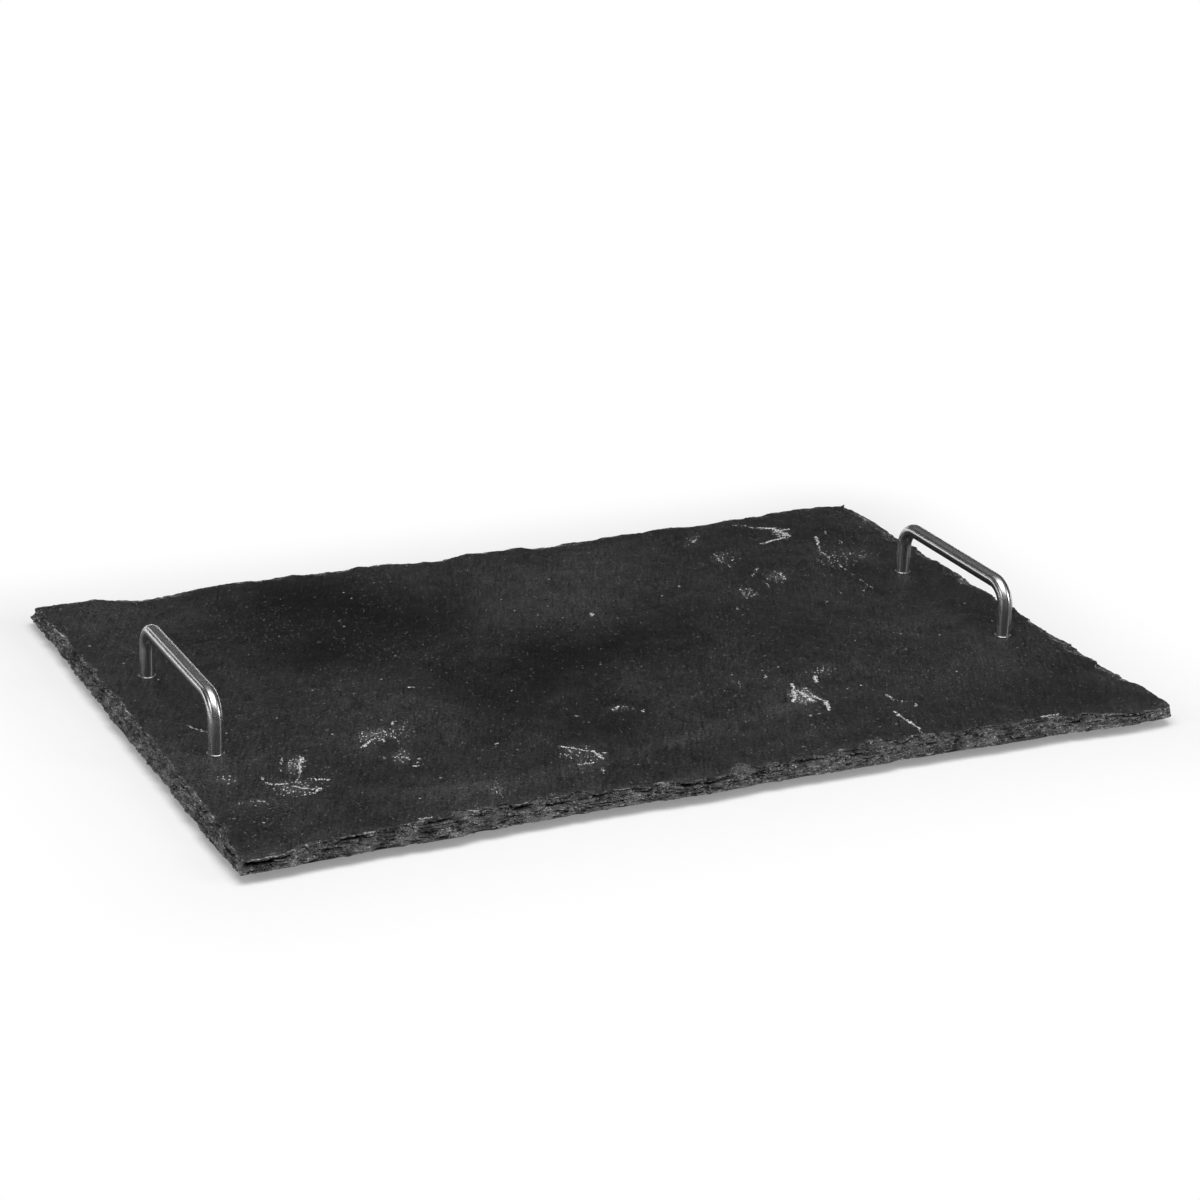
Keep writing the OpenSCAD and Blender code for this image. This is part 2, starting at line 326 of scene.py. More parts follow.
# Scratches and flecks: from x, y to x, y, width, strength
SCRATCHES = [
    (-166, -63, -168, -68, 1.7, 1.0), (-169, -69, -172, -77, 1.1, 1.0), (-171, -63, -176, -75, 0.8, 0.7),
    (-174, -60, -176, -66, 0.9, 0.8), (-178, -70, -179, -73, 0.8, 0.7), (-171, -76, -177, -87, 0.8, 0.6),
    (-189, -82, -187, -84, 1.2, 0.9), (-186, -84.5, -181, -85, 1.1, 0.9),
    (-169, -84, -168.5, -86.5, 1.4, 1.0), (-166.5, -86, -163.5, -88, 1.4, 1.0),
    (-180, -89, -175, -93, 1.3, 1.0), (-175, -93, -170, -97, 0.9, 0.8),
    (-174, -98.5, -170, -95.5, 1.5, 1.0), (-183, -99, -176, -99, 0.8, 0.6),
    (-166, -94, -165.5, -94, 1.2, 0.9), (-189, -75, -188.5, -78, 1.1, 0.8),
    (-205.5, -97, -204.5, -97, 1.1, 0.8), (-201, -98, -195, -99, 1.1, 0.8),
    (-137, -61, -130, -55, 1.7, 1.0), (-127, -55, -126, -59, 1.1, 0.9), (-116, -42, -114, -40, 1.4, 0.9),
    (-121, -55, -121, -57, 1.2, 0.8), (-134, -73, -133, -76, 1.1, 0.7), (-128, -80, -127, -82, 1.2, 0.9),
    (-124, -88, -123.5, -88, 1.5, 1.0), (-123, -87, -118, -80, 1.1, 0.5),
    (-103, -118, -102, -131, 0.9, 0.5), (-127, -128, -126, -129, 1.5, 0.5),
    (-143, -138, -138, -139, 1.3, 0.9), (-200, -13, -195, -22, 0.8, 0.9), (-57, -91, -51, -96, 1.6, 0.9),
    (-51, -96, -49, -99, 1.3, 0.9), (-46, -101, -45.5, -110, 1.4, 0.9), (-42, -104, -41.5, -104, 1.4, 0.9),
    (-57.5, -112, -51, -112, 1.4, 0.9), (-50, -119, -52, -124, 1.1, 0.8), (-36, -63, -35.5, -63, 1.2, 1.0),
    (-17, -62, -14, -60, 1.5, 1.0), (-5.5, -69, -5, -68, 1.5, 1.0), (49, -59, 52, -52, 0.9, 0.7),
    (65, -52, 66, -51, 1.4, 0.9), (73, -63, 69, -76, 1.5, 1.0), (71, -71, 64, -82, 2.4, 1.0),
    (72, -74, 72, -84, 3.4, 1.0), (75, -80, 78, -88, 2.0, 1.0), (77, -88, 74, -97, 2.0, 1.0),
    (88, -59, 85, -65, 1.6, 1.0), (62, -99, 68, -100, 1.3, 0.5), (108, -90, 107, -98, 1.1, 0.8),
    (108, -99, 114, -101, 1.1, 0.4), (115, -104, 113, -108, 1.2, 0.8), (100.5, -109, 101, -131, 1.3, 1.0),
    (100.5, -131, 100, -135, 0.8, 0.7), (161, -138, 169, -138, 1.3, 0.9), (151, 140, 156, 137, 1.6, 0.7),
    (157, 134, 162, 131, 1.5, 0.9), (162, 131, 169, 128, 2.2, 1.0), (168, 128, 170, 117, 3.6, 1.0),
    (169, 124, 175, 125, 1.6, 1.0), (151, 110, 157, 112, 1.3, 1.0), (157, 112, 166, 114, 1.6, 1.0),
    (154, 98, 154.5, 98, 1.5, 0.7), (183, 110, 178, 99, 1.1, 0.9), (178, 99, 174, 90, 0.9, 0.8),
    (174, 90, 173.5, 79, 1.0, 0.8), (173.5, 79, 172, 30, 1.0, 0.28), (190, 112, 192, 116, 1.0, 0.7),
    (192, 100, 190, 96, 1.1, 0.7), (126, 131, 118, 124, 1.1, 0.5), (121, 104, 118, 92, 1.1, 0.6),
    (131, 78, 124, 70, 1.2, 0.6), (139, 68, 137, 60, 1.1, 0.9), (126, 60, 124, 52, 1.1, 0.5),
    (109, 55, 106, 43, 1.1, 0.5), (114, 55, 109, 46, 1.2, 0.5), (172, 38, 166, 31, 1.1, 0.6),
    (96, 33, 95, 31, 1.1, 0.7), (-92.5, -5.5, -91, -6, 1.4, 1.0), (81, 68, 82, 68.5, 1.2, 0.8),
    (26, 50, 23, 46, 1.5, 0.9), (141, 24, 142, 25, 1.1, 0.7), (-204, 11, -203, 12, 1.6, 0.6),
    (190, 76, 189, 72, 1.3, 0.6), (-82, -78, -81, -78, 1.0, 0.7),
]

print("marks on the slate:", len(SCUFF_OVALS) + len(SCRATCHES))

# %% Draw an oval or a stroke


def oval(tree, place, x, y, half_length, half_width, turn_deg):
    """1 in the middle of an oval on the board, falling softly to 0 at its rim."""
    moved = vectors(tree, "SUBTRACT", place, (x * MM, y * MM, 0))
    turned = add(tree, "ShaderNodeVectorRotate", {"Vector": moved, "Angle": -math.radians(turn_deg)},
                 rotation_type="Z_AXIS").outputs[0]
    in_halves = vectors(tree, "MULTIPLY", turned, (1 / (half_length * MM), 1 / (half_width * MM), 0))
    return span(tree, vectors(tree, "LENGTH", in_halves, result="Value"), 1.0, 0.15)


def stroke(tree, place, x0, y0, x1, y1, width):
    """1 along a line on the board, falling softly to 0 at that width from it."""
    start = Vector((x0, y0, 0)) * MM
    reach = Vector((x1, y1, 0)) * MM - start
    moved = vectors(tree, "SUBTRACT", place, start)
    share = vectors(tree, "DOT_PRODUCT", moved, reach / reach.length_squared, result="Value")
    share = held(tree, share)
    apart = vectors(tree, "DISTANCE", moved, scaled(tree, reach, share), result="Value")
    return span(tree, apart, width * MM, 0.15 * width * MM)


# %% The split face: tones with painted shade and sheen, and grain
GRAIN_TURN = math.radians(-26)
CLOUD_SIZE, MOTTLE_SIZE, GRAIN_SIZE = 0.045, 0.011, 0.0010
DRAWN_SIZES = (0.0009, 0.012, 0.004)
SPLIT_GREYS = (grey(0.0030), grey(0.0420))
LEAST_FACTOR = 0.20


def split_stone(tree, place, flat):
    """The colour of the split face with its painted shade and sheen, its fine grain and the soft mottle for
    its sheen.
    """
    tone = 0.5
    # The ovals and bands give the stone's own tone, and painted shade and sheen where its face bulges or dips
    for *shape, change in TONE_AND_SHADE_OVALS:
        tone = plus(tree, tone, times(tree, oval(tree, flat, *shape), change))
    for *line, change in TONE_AND_SHEEN_BANDS:
        tone = plus(tree, tone, times(tree, stroke(tree, flat, *line), change))
    clouds = cloud(tree, place, CLOUD_SIZE, detail=5, roughness=0.6)
    base = span(tree, plus(tree, tone, sway(tree, clouds, 0.75)), 0.0, 1.0)
    mottle = cloud(tree, place, MOTTLE_SIZE, detail=4, roughness=0.65)
    drawn = cloud(tree, place, DRAWN_SIZES, detail=3, roughness=0.6, turn=GRAIN_TURN)
    grain = cloud(tree, place, GRAIN_SIZE, detail=3, roughness=0.7)
    factor = plus(tree, 1.0, sway(tree, mottle, 1.2), sway(tree, drawn, 2.0), sway(tree, grain, 5.2))
    factor = highest(tree, factor, LEAST_FACTOR)
    return scaled(tree, blend(tree, base, *SPLIT_GREYS), factor), grain, drawn, mottle


def shaken(tree, place, flat, scale, reach):
    """The flat place moved about by noise, so that what is drawn there gets a ragged edge."""
    drift = add(tree, "ShaderNodeTexNoise", {"Vector": place, "Scale": scale, "Detail": 3.0})
    drift = vectors(tree, "SUBTRACT", drift.outputs["Color"], (0.5, 0.5, 0.5))
    return vectors(tree, "ADD", flat, vectors(tree, "MULTIPLY", drift, (reach, reach, 0)))


# %% Scuffs, scratches, and specks that are painted glints
# The ragged line of a stroke: how fine its noise is, and how far it moves the line
WAVES = ((330.0, 3.5 * MM), (1300.0, 2.2 * MM))
FLECK_SIZES = (0.0007, 0.0014, 1.0)
HAIR_SIZES = (0.0006, 0.007, 0.004)
BRUSH_SIZES = (0.0005, 0.0012, 0.0010)
# Stray specks, which are painted glints: size of their cells, share of the cell that they fill,
# and strength
PAINTED_SPECK_GLINTS = ((0.0014, 0.28, 0.15), (0.0030, 0.16, 0.23), (0.0085, 0.08, 0.65))


def scuffs_and_speck_glints(tree, place, flat):
    """How far each spot is painted white, from 0 to 1: scuffed strokes, gritty ovals, and stray specks that
    are painted glints.
    """
    wavy = flat
    for wave in WAVES:
        wavy = shaken(tree, place, wavy, *wave)
    lines = scuffs = 0.0
    for *ends, width, strength in SCRATCHES:
        lines = highest(tree, lines, times(tree, stroke(tree, wavy, *ends, 0.9 * width), strength))
    for *shape, strength in SCUFF_OVALS:
        scuffs = highest(tree, scuffs, times(tree, oval(tree, flat, *shape), strength))
    amount = highest(tree, lines, times(tree, scuffs, 0.55))
    gritty = shaken(tree, place, flat, 1500.0, 1.0 * MM)
    reach, chance, bright = grains(tree, gritty, FLECK_SIZES, turn=GRAIN_TURN)
    there = span(tree, maths(tree, "SUBTRACT", amount, chance), -0.05, 0.12)
    fleck = times(tree, span(tree, reach, 0.66, 0.22), there, plus(tree, 0.10, times(tree, bright, 0.90)))
    brushed = cloud(tree, flat, BRUSH_SIZES, detail=2, roughness=0.6, turn=GRAIN_TURN)
    breaks = cloud(tree, flat, 0.0021, detail=2, roughness=0.6)
    grit = times(tree, span(tree, brushed, 0.46, 0.52, 0.02, 1.0), span(tree, breaks, 0.43, 0.51, 0.06, 1.0))
    core = times(tree, span(tree, lines, 0.70, 0.88), grit)
    hairs = cloud(tree, place, HAIR_SIZES, detail=3, roughness=0.6, turn=GRAIN_TURN)
    haze = times(tree, scuffs, span(tree, hairs, 0.42, 0.68, 0.02, 0.17))
    crowd = span(tree, cloud(tree, place, 0.05, detail=3), 0.42, 0.68, 0.03, 0.26)
    painted_speck_glints = 0.0
    # Stray specks: painted glints, white flecks for light caught by the grain of the split face
    for size, heart, power in PAINTED_SPECK_GLINTS:
        reach, chance, bright = grains(tree, gritty, size)
        painted_speck_glint = times(tree, span(tree, reach, heart, 0.4 * heart), maths(tree, "LESS_THAN", chance, crowd))
        painted_speck_glint = times(tree, painted_speck_glint, times(tree, maths(tree, "POWER", bright, 2.5), power))
        painted_speck_glints = highest(tree, painted_speck_glints, painted_speck_glint)
    return highest(tree, fleck, core, haze, painted_speck_glints)


# %% The struck edge: crumbs, painted shade in cracks and pits, and painted mica glints
CRUMB_SIZE, SPECK_SIZE, LUMP_SIZE = 0.0015, 0.0006, 0.009
LAYER_SIZES = (0.006, 0.006, 0.0008)
CRACK_SIZES = (0.009, 0.009, 0.0024)
# The darkest grey stands partly for painted shade in small pits
STRUCK_GREYS = (grey(0.004), grey(0.360))
PAINTED_MICA_GLINT = grey(0.85)


def struck_stone(tree, place):
    """The colour of the struck edge with painted shade in cracks and pits and painted mica glints, the height
    of its crumbs and where it is crumbly.
    """
    crumbs = cloud(tree, place, CRUMB_SIZE, detail=4, roughness=0.75)
    specks = cloud(tree, place, SPECK_SIZE, detail=2, roughness=0.6)
    layers = cloud(tree, place, LAYER_SIZES, detail=3, roughness=0.6)
    lumps = cloud(tree, place, LUMP_SIZE, detail=3)
    crumbly = span(tree, cloud(tree, place, (0.007, 0.007, 0.003), detail=2), 0.38, 0.58, 0.25, 1.2)
    rough = plus(tree, sway(tree, crumbs, 2.6), sway(tree, specks, 2.2))
    paler_below = span(tree, height_of(tree, place), 5.0 * MM, 9.0 * MM, 0.10, -0.04)
    tone = plus(tree, 0.45, times(tree, rough, crumbly), sway(tree, layers, 1.6), sway(tree, lumps, 1.3),
                paler_below)
    tone = maths(tree, "POWER", held(tree, tone), 1.5)
    # Painted shade: the colour goes dark along hairline cracks
    split = maths(tree, "ABSOLUTE", sway(tree, cloud(tree, place, CRACK_SIZES, detail=3), 1.0))
    crack_shade = span(tree, split, 0.0, 0.016, 0.15, 1.0)
    struck = scaled(tree, blend(tree, tone, *STRUCK_GREYS), crack_shade)
    # Painted glints: white cells for flakes of mica catching the light, in the colour whatever the light
    mica = add(tree, "ShaderNodeTexVoronoi", {"Vector": place, "Scale": 1700.0})
    flake = add(tree, "ShaderNodeSeparateColor", {0: mica.outputs["Color"]}).outputs
    painted_glint_share = times(tree, maths(tree, "GREATER_THAN", flake[0], 0.86), flake[1])
    painted_glint_share = times(tree, painted_glint_share, span(tree, plus(tree, crumbs, sway(tree, lumps, 0.6)), 0.44, 0.60))
    return blend(tree, painted_glint_share, struck, PAINTED_MICA_GLINT), crumbs, crumbly


# %% The whole finish of the slate
# The grey of the painted highlight on the lips, and the white of the scuffs and the painted glints
LIP_HIGHLIGHT_GREY, SCUFF_AND_GLINT_WHITE = grey(0.75), grey(0.95)


def slate_finish():
    """Split stone on the faces, struck stone where the edge is hewn, white scuffs and painted glints on top,
    and a painted highlight on the lips.
    """
    material, tree, shader, place = new_finish("riven_slate")
    flat = vectors(tree, "MULTIPLY", place, (1, 1, 0))
    stone, grain, drawn, mottle = split_stone(tree, place, flat)
    upper = span(tree, height_of(tree, place), 6 * MM, 8 * MM, 0.1, 1.0)
    # The white scuffs, and among them the painted glints of the stray specks
    marks = times(tree, scuffs_and_speck_glints(tree, place, flat), upper)
    struck, crumbs, crumbly = struck_stone(tree, place)
    edge_share = plus(tree, drawn_from(tree, "hewn"), sway(tree, cloud(tree, place, 0.006, detail=4), 1.4))
    edge_share = span(tree, edge_share, 0.30, 0.70)
    rough_share = times(tree, edge_share, span(tree, drawn_from(tree, "tread"), 0.0, 1.0, 1.0, 0.40))
    both = blend(tree, rough_share, stone, struck)
    # A painted highlight where the lips of the layers catch the light, brightest in a line on the top rim
    # over each slot
    lit_lip = drawn_from(tree, "lit_lip")
    painted_lip_highlight = span(tree, cloud(tree, place, 0.009, detail=3, roughness=0.6), 0.50, 0.66)
    painted_lip_highlight = times(tree, painted_lip_highlight, span(tree, crumbs, 0.44, 0.58), span(tree, lit_lip, 0.35, 0.80, 0.0, 0.80))
    slot_lip_highlight = times(tree, span(tree, lit_lip, 0.84, 1.0), span(tree, crumbs, 0.36, 0.52))
    painted_lip_highlight = highest(tree, painted_lip_highlight, slot_lip_highlight)
    wear_and_highlights = blend(tree, marks, blend(tree, painted_lip_highlight, both, LIP_HIGHLIGHT_GREY), SCUFF_AND_GLINT_WHITE)
    rough = plus(tree, 0.46, sway(tree, mottle, 0.5), times(tree, edge_share, 0.16), times(tree, marks, 0.15))
    shader.inputs["Specular IOR Level"].default_value = 0.26
    height = plus(tree, times(tree, grain, 0.30), times(tree, drawn, 0.40), times(tree, mottle, 1.6))
    height = plus(tree, height, times(tree, crumbs, edge_share, crumbly, 3.4))
    wire(tree, shader, wear_and_highlights, rough, height, 0.6, 0.35 * MM)
    print(material.name, "has", len(tree.nodes), "nodes")
    return material


slate = slate_finish()

# %% [markdown]
# ## The struck edge, layer by layer
# The fixed slab gives the edge in four rims, from the underside up to the top face, each with a
# corner every 6 mm. The real edge breaks layer by layer: each thin layer stops at its own line,
# so the slope is a flight of small ragged steps. It is made as a long flat strip of squares that
# is wrapped round the slab. Two rows of squares make one layer, a rise and a tread. Every point
# stays inside the rim of the fixed underside, so the board doesn't grow, but at some corners and
# on the left the slope is steeper than the fixed one, as on the real board.

# %% The four rims of the fixed slab
BORE_RIM = 4 * MM


def fixed_rims(node):
    """The slab's rims from low to high, as points in the same order round the slab."""
    leg_axes = np.array([middle(f"{corner}_screw")[:2] for corner in CORNERS])
    points = np.unique(np.array([v.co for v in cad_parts[node].data.vertices]), axis=0)
    clear = np.linalg.norm(points[:, None, :2] - leg_axes, axis=2).min(axis=1) > BORE_RIM
    points = points[clear]
    heights = np.unique(points[:, 2].round(6))
    loops = []
    for height in heights:
        loop = points[np.abs(points[:, 2] - height) < 0.01 * MM][:, :2]
        loop = loop[np.argsort(np.arctan2(loop[:, 1], loop[:, 0]))]
        if loops:
            turned = [np.roll(loop, step, axis=0) for step in (-2, -1, 0, 1, 2)]
            loop = min(turned, key=lambda way: np.abs(way - loops[-1]).sum())
        loops.append(loop)
    return heights, np.array(loops), leg_axes


rim_heights, rims, leg_axes = fixed_rims("slate_board")
print("rims:", rims.shape[0], "with", rims.shape[1], "corners each")

# %% Columns round the slab
PER_FACET = 8
# Over how many columns to either side a line or a direction is made smooth
NEAR, FAR = 12, 32
# A column faces a side when its inward way runs at least so far straight away from that side
FACING = 0.7
columns = rims.shape[1] * PER_FACET


def along(loop):
    """The loop with straight steps added between its corners."""
    at = np.arange(columns) / PER_FACET
    before = at.astype(int)
    rest = (at - before)[:, None]
    return loop[before] * (1 - rest) + np.roll(loop, -1, axis=0)[before] * rest


def softened(loop, reach):
    """Each point moved to the mean of its neighbours on either side."""
    return sum(np.roll(loop, step, axis=0) for step in range(-reach, reach + 1)) / (2 * reach + 1)


fine_rims = np.array([along(loop) for loop in rims])
run = softened(fine_rims[0], NEAR)
run = np.roll(run, -1, axis=0) - np.roll(run, 1, axis=0)
inward = np.stack([-run[:, 1], run[:, 0]], axis=1) / np.linalg.norm(run, axis=1)[:, None]
inward_soft = softened(inward, FAR)
inward_soft /= np.linalg.norm(inward_soft, axis=1)[:, None]
rim_shares = (rim_heights - rim_heights[0]) / (rim_heights[-1] - rim_heights[0])
slab_low, slab_t = rim_heights[0], rim_heights[-1] - rim_heights[0]
print("columns:", columns)

# %% How steep the slope is
# Corners where the real flank is steeper: place, reach and share of the fixed slope
STEEP_CORNERS = [
    ((0.222, -0.149), 0.034, 0.20), ((-0.224, -0.150), 0.030, 0.35), ((-0.225, 0.150), 0.030, 0.80),
]
LEFT_SLOPE_SHARE = 0.80
steepness = 1 - (1 - LEFT_SLOPE_SHARE) * softened(inward[:, 0] > FACING, NEAR)
at_corner = np.zeros(columns)
for spot, reach, slope_share in STEEP_CORNERS:
    near = np.clip(2 - 2 * np.linalg.norm(fine_rims[0] - spot, axis=1) / reach, 0, 1)
    steepness = np.minimum(steepness, 1 - (1 - slope_share) * near)
    at_corner = np.maximum(at_corner, near)

# Columns crowd together where the rim turns a corner, so that flakes and crumbs are smaller there
turning = np.linalg.norm(np.roll(inward, -NEAR, axis=0) - np.roll(inward, NEAR, axis=0), axis=1)
calm = 1 - 0.95 * softened(np.clip((turning - 0.3) / 0.7, 0, 1), 4)


def slope_at(share):
    """The slope's points, column by column: the fixed slope's, or steeper where the real one is."""
    points = fine_rims[0].copy()
    for level in range(len(rim_shares) - 1):
        part = (share - rim_shares[level]) / (rim_shares[level + 1] - rim_shares[level])
        part = np.clip(part, 0, 1) * steepness
        points += part[:, None] * (fine_rims[level + 1] - fine_rims[level])
    return points


def ragged(size, seed):
    """Noise from about -1 to 1 in lumps of that size, read along the rim."""
    return np.array([1.6 * noise.noise(Vector((x / size, y / size, 11.7 * seed))) for x, y in fine_rims[0]])


print("least share of the fixed slope that is kept:", round(float(steepness.min()), 2))

# %% Crevices under the top layers
# Dark slots where a flake has lifted: side, middle, half length, depth in mm, lowest and highest layer
CREVICES = [
    ("front", -217, 12, 6.5, 8, 9), ("front", -219, 8, 5.5, 6, 8), ("front", -178, 7, 4.5, 8, 10),
    ("front", -172, 4, 3.0, 5, 7), ("front", -139, 6, 3.5, 9, 10), ("front", -121, 4, 3.5, 7, 8),
    ("front", -100, 6, 5.0, 7, 9), ("front", -84, 7, 5.0, 6, 8), ("front", -64, 5, 3.5, 8, 9),
    ("front", -43, 4, 3.5, 7, 8), ("front", -22, 5, 4.5, 8, 9), ("front", -12, 5, 3.5, 7, 8),
    ("front", 14, 4, 2.5, 6, 7), ("front", 38, 5, 3.0, 8, 9), ("front", 62, 3, 3.0, 7, 8),
    ("front", 88, 5, 3.5, 8, 9), ("front", 118, 4, 2.5, 7, 8), ("front", 141, 5, 3.0, 8, 9),
    ("front", 176, 4, 3.0, 6, 7), ("front", 203, 4, 3.0, 8, 9), ("left", 120, 3, 2.5, 8, 9),
    ("left", 73, 4, 3.0, 8, 9), ("left", 56, 4, 3.0, 8, 9), ("left", 43, 4, 3.5, 7, 8),
    ("left", 12, 3, 2.5, 6, 7), ("left", -30, 3, 2.5, 8, 9), ("left", -58, 4, 3.5, 8, 9),
    ("left", -70, 4, 3.5, 7, 8), ("left", -99, 4, 3.5, 8, 9), ("left", -112, 3, 3.0, 6, 7),
    ("left", -138, 5, 4.0, 7, 8), ("rear", -120, 6, 3.0, 8, 9), ("rear", -40, 5, 2.5, 7, 8),
    ("rear", 60, 6, 3.0, 8, 9), ("rear", 150, 5, 3.0, 7, 8), ("right", -90, 5, 2.5, 8, 9),
    ("right", 40, 5, 2.5, 7, 8),
]
OUTWARD = {"front": (0, -1), "right": (1, 0), "rear": (0, 1), "left": (-1, 0)}


def on_side(side):
    """Which columns face that way."""
    return -(inward @ np.array(OUTWARD[side])) > FACING


def place_along(side):
    """Each column's place along that side, in mm from the middle of the slab."""
    return fine_rims[0][:, 0 if side in EDGES else 1] / MM


def crevice_depth(layer):
    """How far each column of that layer is cut in by the crevices, in metres."""
    depth = np.zeros(columns)
    for side, centre, half, deep, low, high in CREVICES:
        if low <= layer <= high:
            edge = np.clip(1 - np.abs((place_along(side) - centre) / half) ** 1.5, 0, 1)
            depth = np.maximum(depth, softened(on_side(side), 5) * edge ** 0.8 * deep * MM)
    return depth


def lip_share(full_depth):
    """How far each column lies over a crevice, from 0 to 1, and less where the crevice is shallow."""
    share = np.zeros(columns)
    for side, centre, half, deep, *_ in CREVICES:
        over = on_side(side) * np.clip(1.4 - np.abs((place_along(side) - centre) / half), 0, 1)
        share = np.maximum(share, over * min(deep / full_depth, 1))
    return share


print("crevices:", len(CREVICES))

# %% Flakes struck off the edge
steps_round = np.linalg.norm(np.roll(fine_rims[0], -1, axis=0) - fine_rims[0], axis=1)
way_round = np.cumsum(steps_round)


def flakes(size, seed):
    """Scoops side by side round the slab, each about that long, from 0 at its ends to at most 1."""
    rng = np.random.default_rng(seed)
    ends = np.cumsum(rng.uniform(0.35, 1.65, int(way_round[-1] / size) + 1) * size)
    ends = np.append(ends[ends < way_round[-1] - 0.3 * size], way_round[-1] + MM)
    starts = np.append(0, ends[:-1])
    cell = np.searchsorted(ends, way_round)
    across = 2 * (way_round - starts[cell]) / (ends[cell] - starts[cell]) - 1
    return rng.uniform(0, 1, len(ends))[cell] ** 1.4 * np.clip(1 - across ** 2, 0, 1) ** 0.7


print("way round the slab:", round(way_round[-1], 3), "m")

# %% The rows of the strip
LAYERS = 12
BIG_SCOOP = 3.4 * MM
SMALL_SCOOP = 1.7 * MM
CRUMB = 0.55 * MM
PIT = 2.0 * MM
TREAD = 0.02 * MM
WORN = 0.8 * MM
RING_MARGIN = 3 * MM
SIDE_SHARE = {"front": 0.70, "left": 0.25, "rear": 0.40, "right": 0.9}
# Flat shelves where a top flake came off: lowest layer, length, seed, depth
SHELVES = [(10, 36 * MM, 5, 6.5 * MM), (8, 26 * MM, 6, 3.6 * MM)]


def struck_rows():
    """The strip's rows of points, from inside the underside's rim to inside the top's."""
    waver = [0.90 * ragged(11 * MM, 3 + k) + 0.55 * ragged(3 * MM, 40 + k) for k in range(LAYERS)]
    lines = [np.zeros(columns)]
    for k in range(1, LAYERS):
        lines.append(np.maximum(lines[-1] + 0.02, np.clip((k + waver[k]) / LAYERS, 0, 0.98)))
    lines.append(np.ones(columns))
    sides = softened(sum(on_side(side) * share for side, share in SIDE_SHARE.items()), 10)
    spared = (1 - 0.8 * softened(lip_share(0.1), 2)) * (1 - 0.75 * at_corner) * calm
    big = BIG_SCOOP * np.maximum(flakes(24 * MM, 1), 0.7 * flakes(15 * MM, 2)) * sides * spared
    reach = np.clip(0.45 + 0.45 * ragged(30 * MM, 77), 0.15, 0.8)
    shelves = [(low, deep * np.clip(flakes(length, seed) * 1.5 - 0.35, 0, 1) * sides * spared)
               for low, length, seed, deep in SHELVES]
    rows = []

    def row(points, share, settle=0.0):
        """One more row, at that share of the slab's height."""
        points = softened(points, 8) * (1 - calm)[:, None] + points * calm[:, None]
        z = slab_low + np.clip(share, 0, 1) * slab_t + settle
        rows.append(np.column_stack([points, np.broadcast_to(z, columns)]))

    def inner(points, depth):
        """A smooth ring that keeps well inside the deepest scoop near each point."""
        deepest = np.max([np.roll(depth, step) for step in range(-24, 25, 4)], axis=0)
        return softened(points, FAR) + inward_soft * (softened(deepest, FAR) + RING_MARGIN)[:, None]

    def crumbs(seed):
        """How far small crumbs have fallen out of each column, or wear at a sharp tip."""
        fine = np.clip(ragged(1.7 * MM, 20 + seed), -0.4, 1.2) + 0.4
        return CRUMB * calm * (0.6 * fine + 0.5 * np.abs(ragged(4.5 * MM, 50 + seed))) + WORN * (1 - calm)

    under_rim = 0.8 * SMALL_SCOOP * flakes(9 * MM, 30) * calm + 0.6 * WORN * (1 - calm)
    under = fine_rims[0] + inward * under_rim[:, None]
    row(inner(fine_rims[0], under_rim + 2 * MM), 0.0)
    row(under + inward * (1.0 * MM * calm)[:, None], 0.0)
    for layer in range(LAYERS):
        rise = (layer + 1) / LAYERS
        scoop = big * np.clip((rise - reach) / (1 - reach), 0, 1) ** 0.8
        small = SMALL_SCOOP * flakes((7 + layer % 3 * 3) * MM, 60 + layer) * (0.5 + 0.5 * sides) * calm
        back = scoop + small + crumbs(layer) + crevice_depth(layer)
        back += PIT * calm * np.clip((ragged(2.8 * MM, 100 + layer) - 0.6) / 0.4, 0, 1)
        back += sum(deep for low, deep in shelves if layer >= low)
        face = slope_at(lines[layer + 1])
        row(face + inward * back[:, None], lines[layer], TREAD if layer else 0.0)
        row(face + inward * (back + 0.3 * calm * crumbs(layer + 14))[:, None], lines[layer + 1])
    nicks = np.maximum(flakes(11 * MM, 90), 0.7 * flakes(5 * MM, 91))
    rim = big + SMALL_SCOOP * nicks * calm + crumbs(30) + sum(deep for low, deep in shelves)
    top = slope_at(np.ones(columns)) + inward * rim[:, None]
    row(top, 1.0, -0.02 * MM)
    row(top + inward * (0.9 * MM * calm)[:, None], 1.0)
    row(inner(slope_at(np.ones(columns)), rim), 1.0)
    return np.array(rows)


rows = struck_rows()
print("rows:", len(rows))

# %% Wrap the strip
RIM_ROW = len(rows) - 3
# Rows whose lips get a faint painted highlight
LIP_ROWS = (RIM_ROW - 1, RIM_ROW - 5, RIM_ROW - 9)
over_slot = lip_share(6.0)


def wrapped_strip():
    """A flat strip of squares, wrapped round the slab and closed into a band."""
    bm = bmesh.new()
    bmesh.ops.create_grid(bm, x_segments=columns, y_segments=len(rows) - 1, size=0.5)
    hewn = bm.verts.layers.float.new("hewn")
    lit_lip = bm.verts.layers.float.new("lit_lip")
    for vert in bm.verts:
        column = round((vert.co.x + 0.5) * columns) % columns
        row = round((vert.co.y + 0.5) * (len(rows) - 1))
        vert.co = rows[row, column]
        vert[hewn] = 1.0 if 1 < row <= RIM_ROW else (0.35 if row in (1, RIM_ROW + 1) else 0.0)
        # Where a painted highlight goes on the lips of the layers, strongest on the top rim over a slot
        vert[lit_lip] = 0.5 if row in LIP_ROWS else 0.0
        if row in (RIM_ROW, RIM_ROW + 1):
            vert[lit_lip] = 0.8 + 0.2 * over_slot[column] if row == RIM_ROW else 0.9 * over_slot[column]
    bmesh.ops.remove_doubles(bm, verts=bm.verts, dist=0.0001 * MM)
    return bm


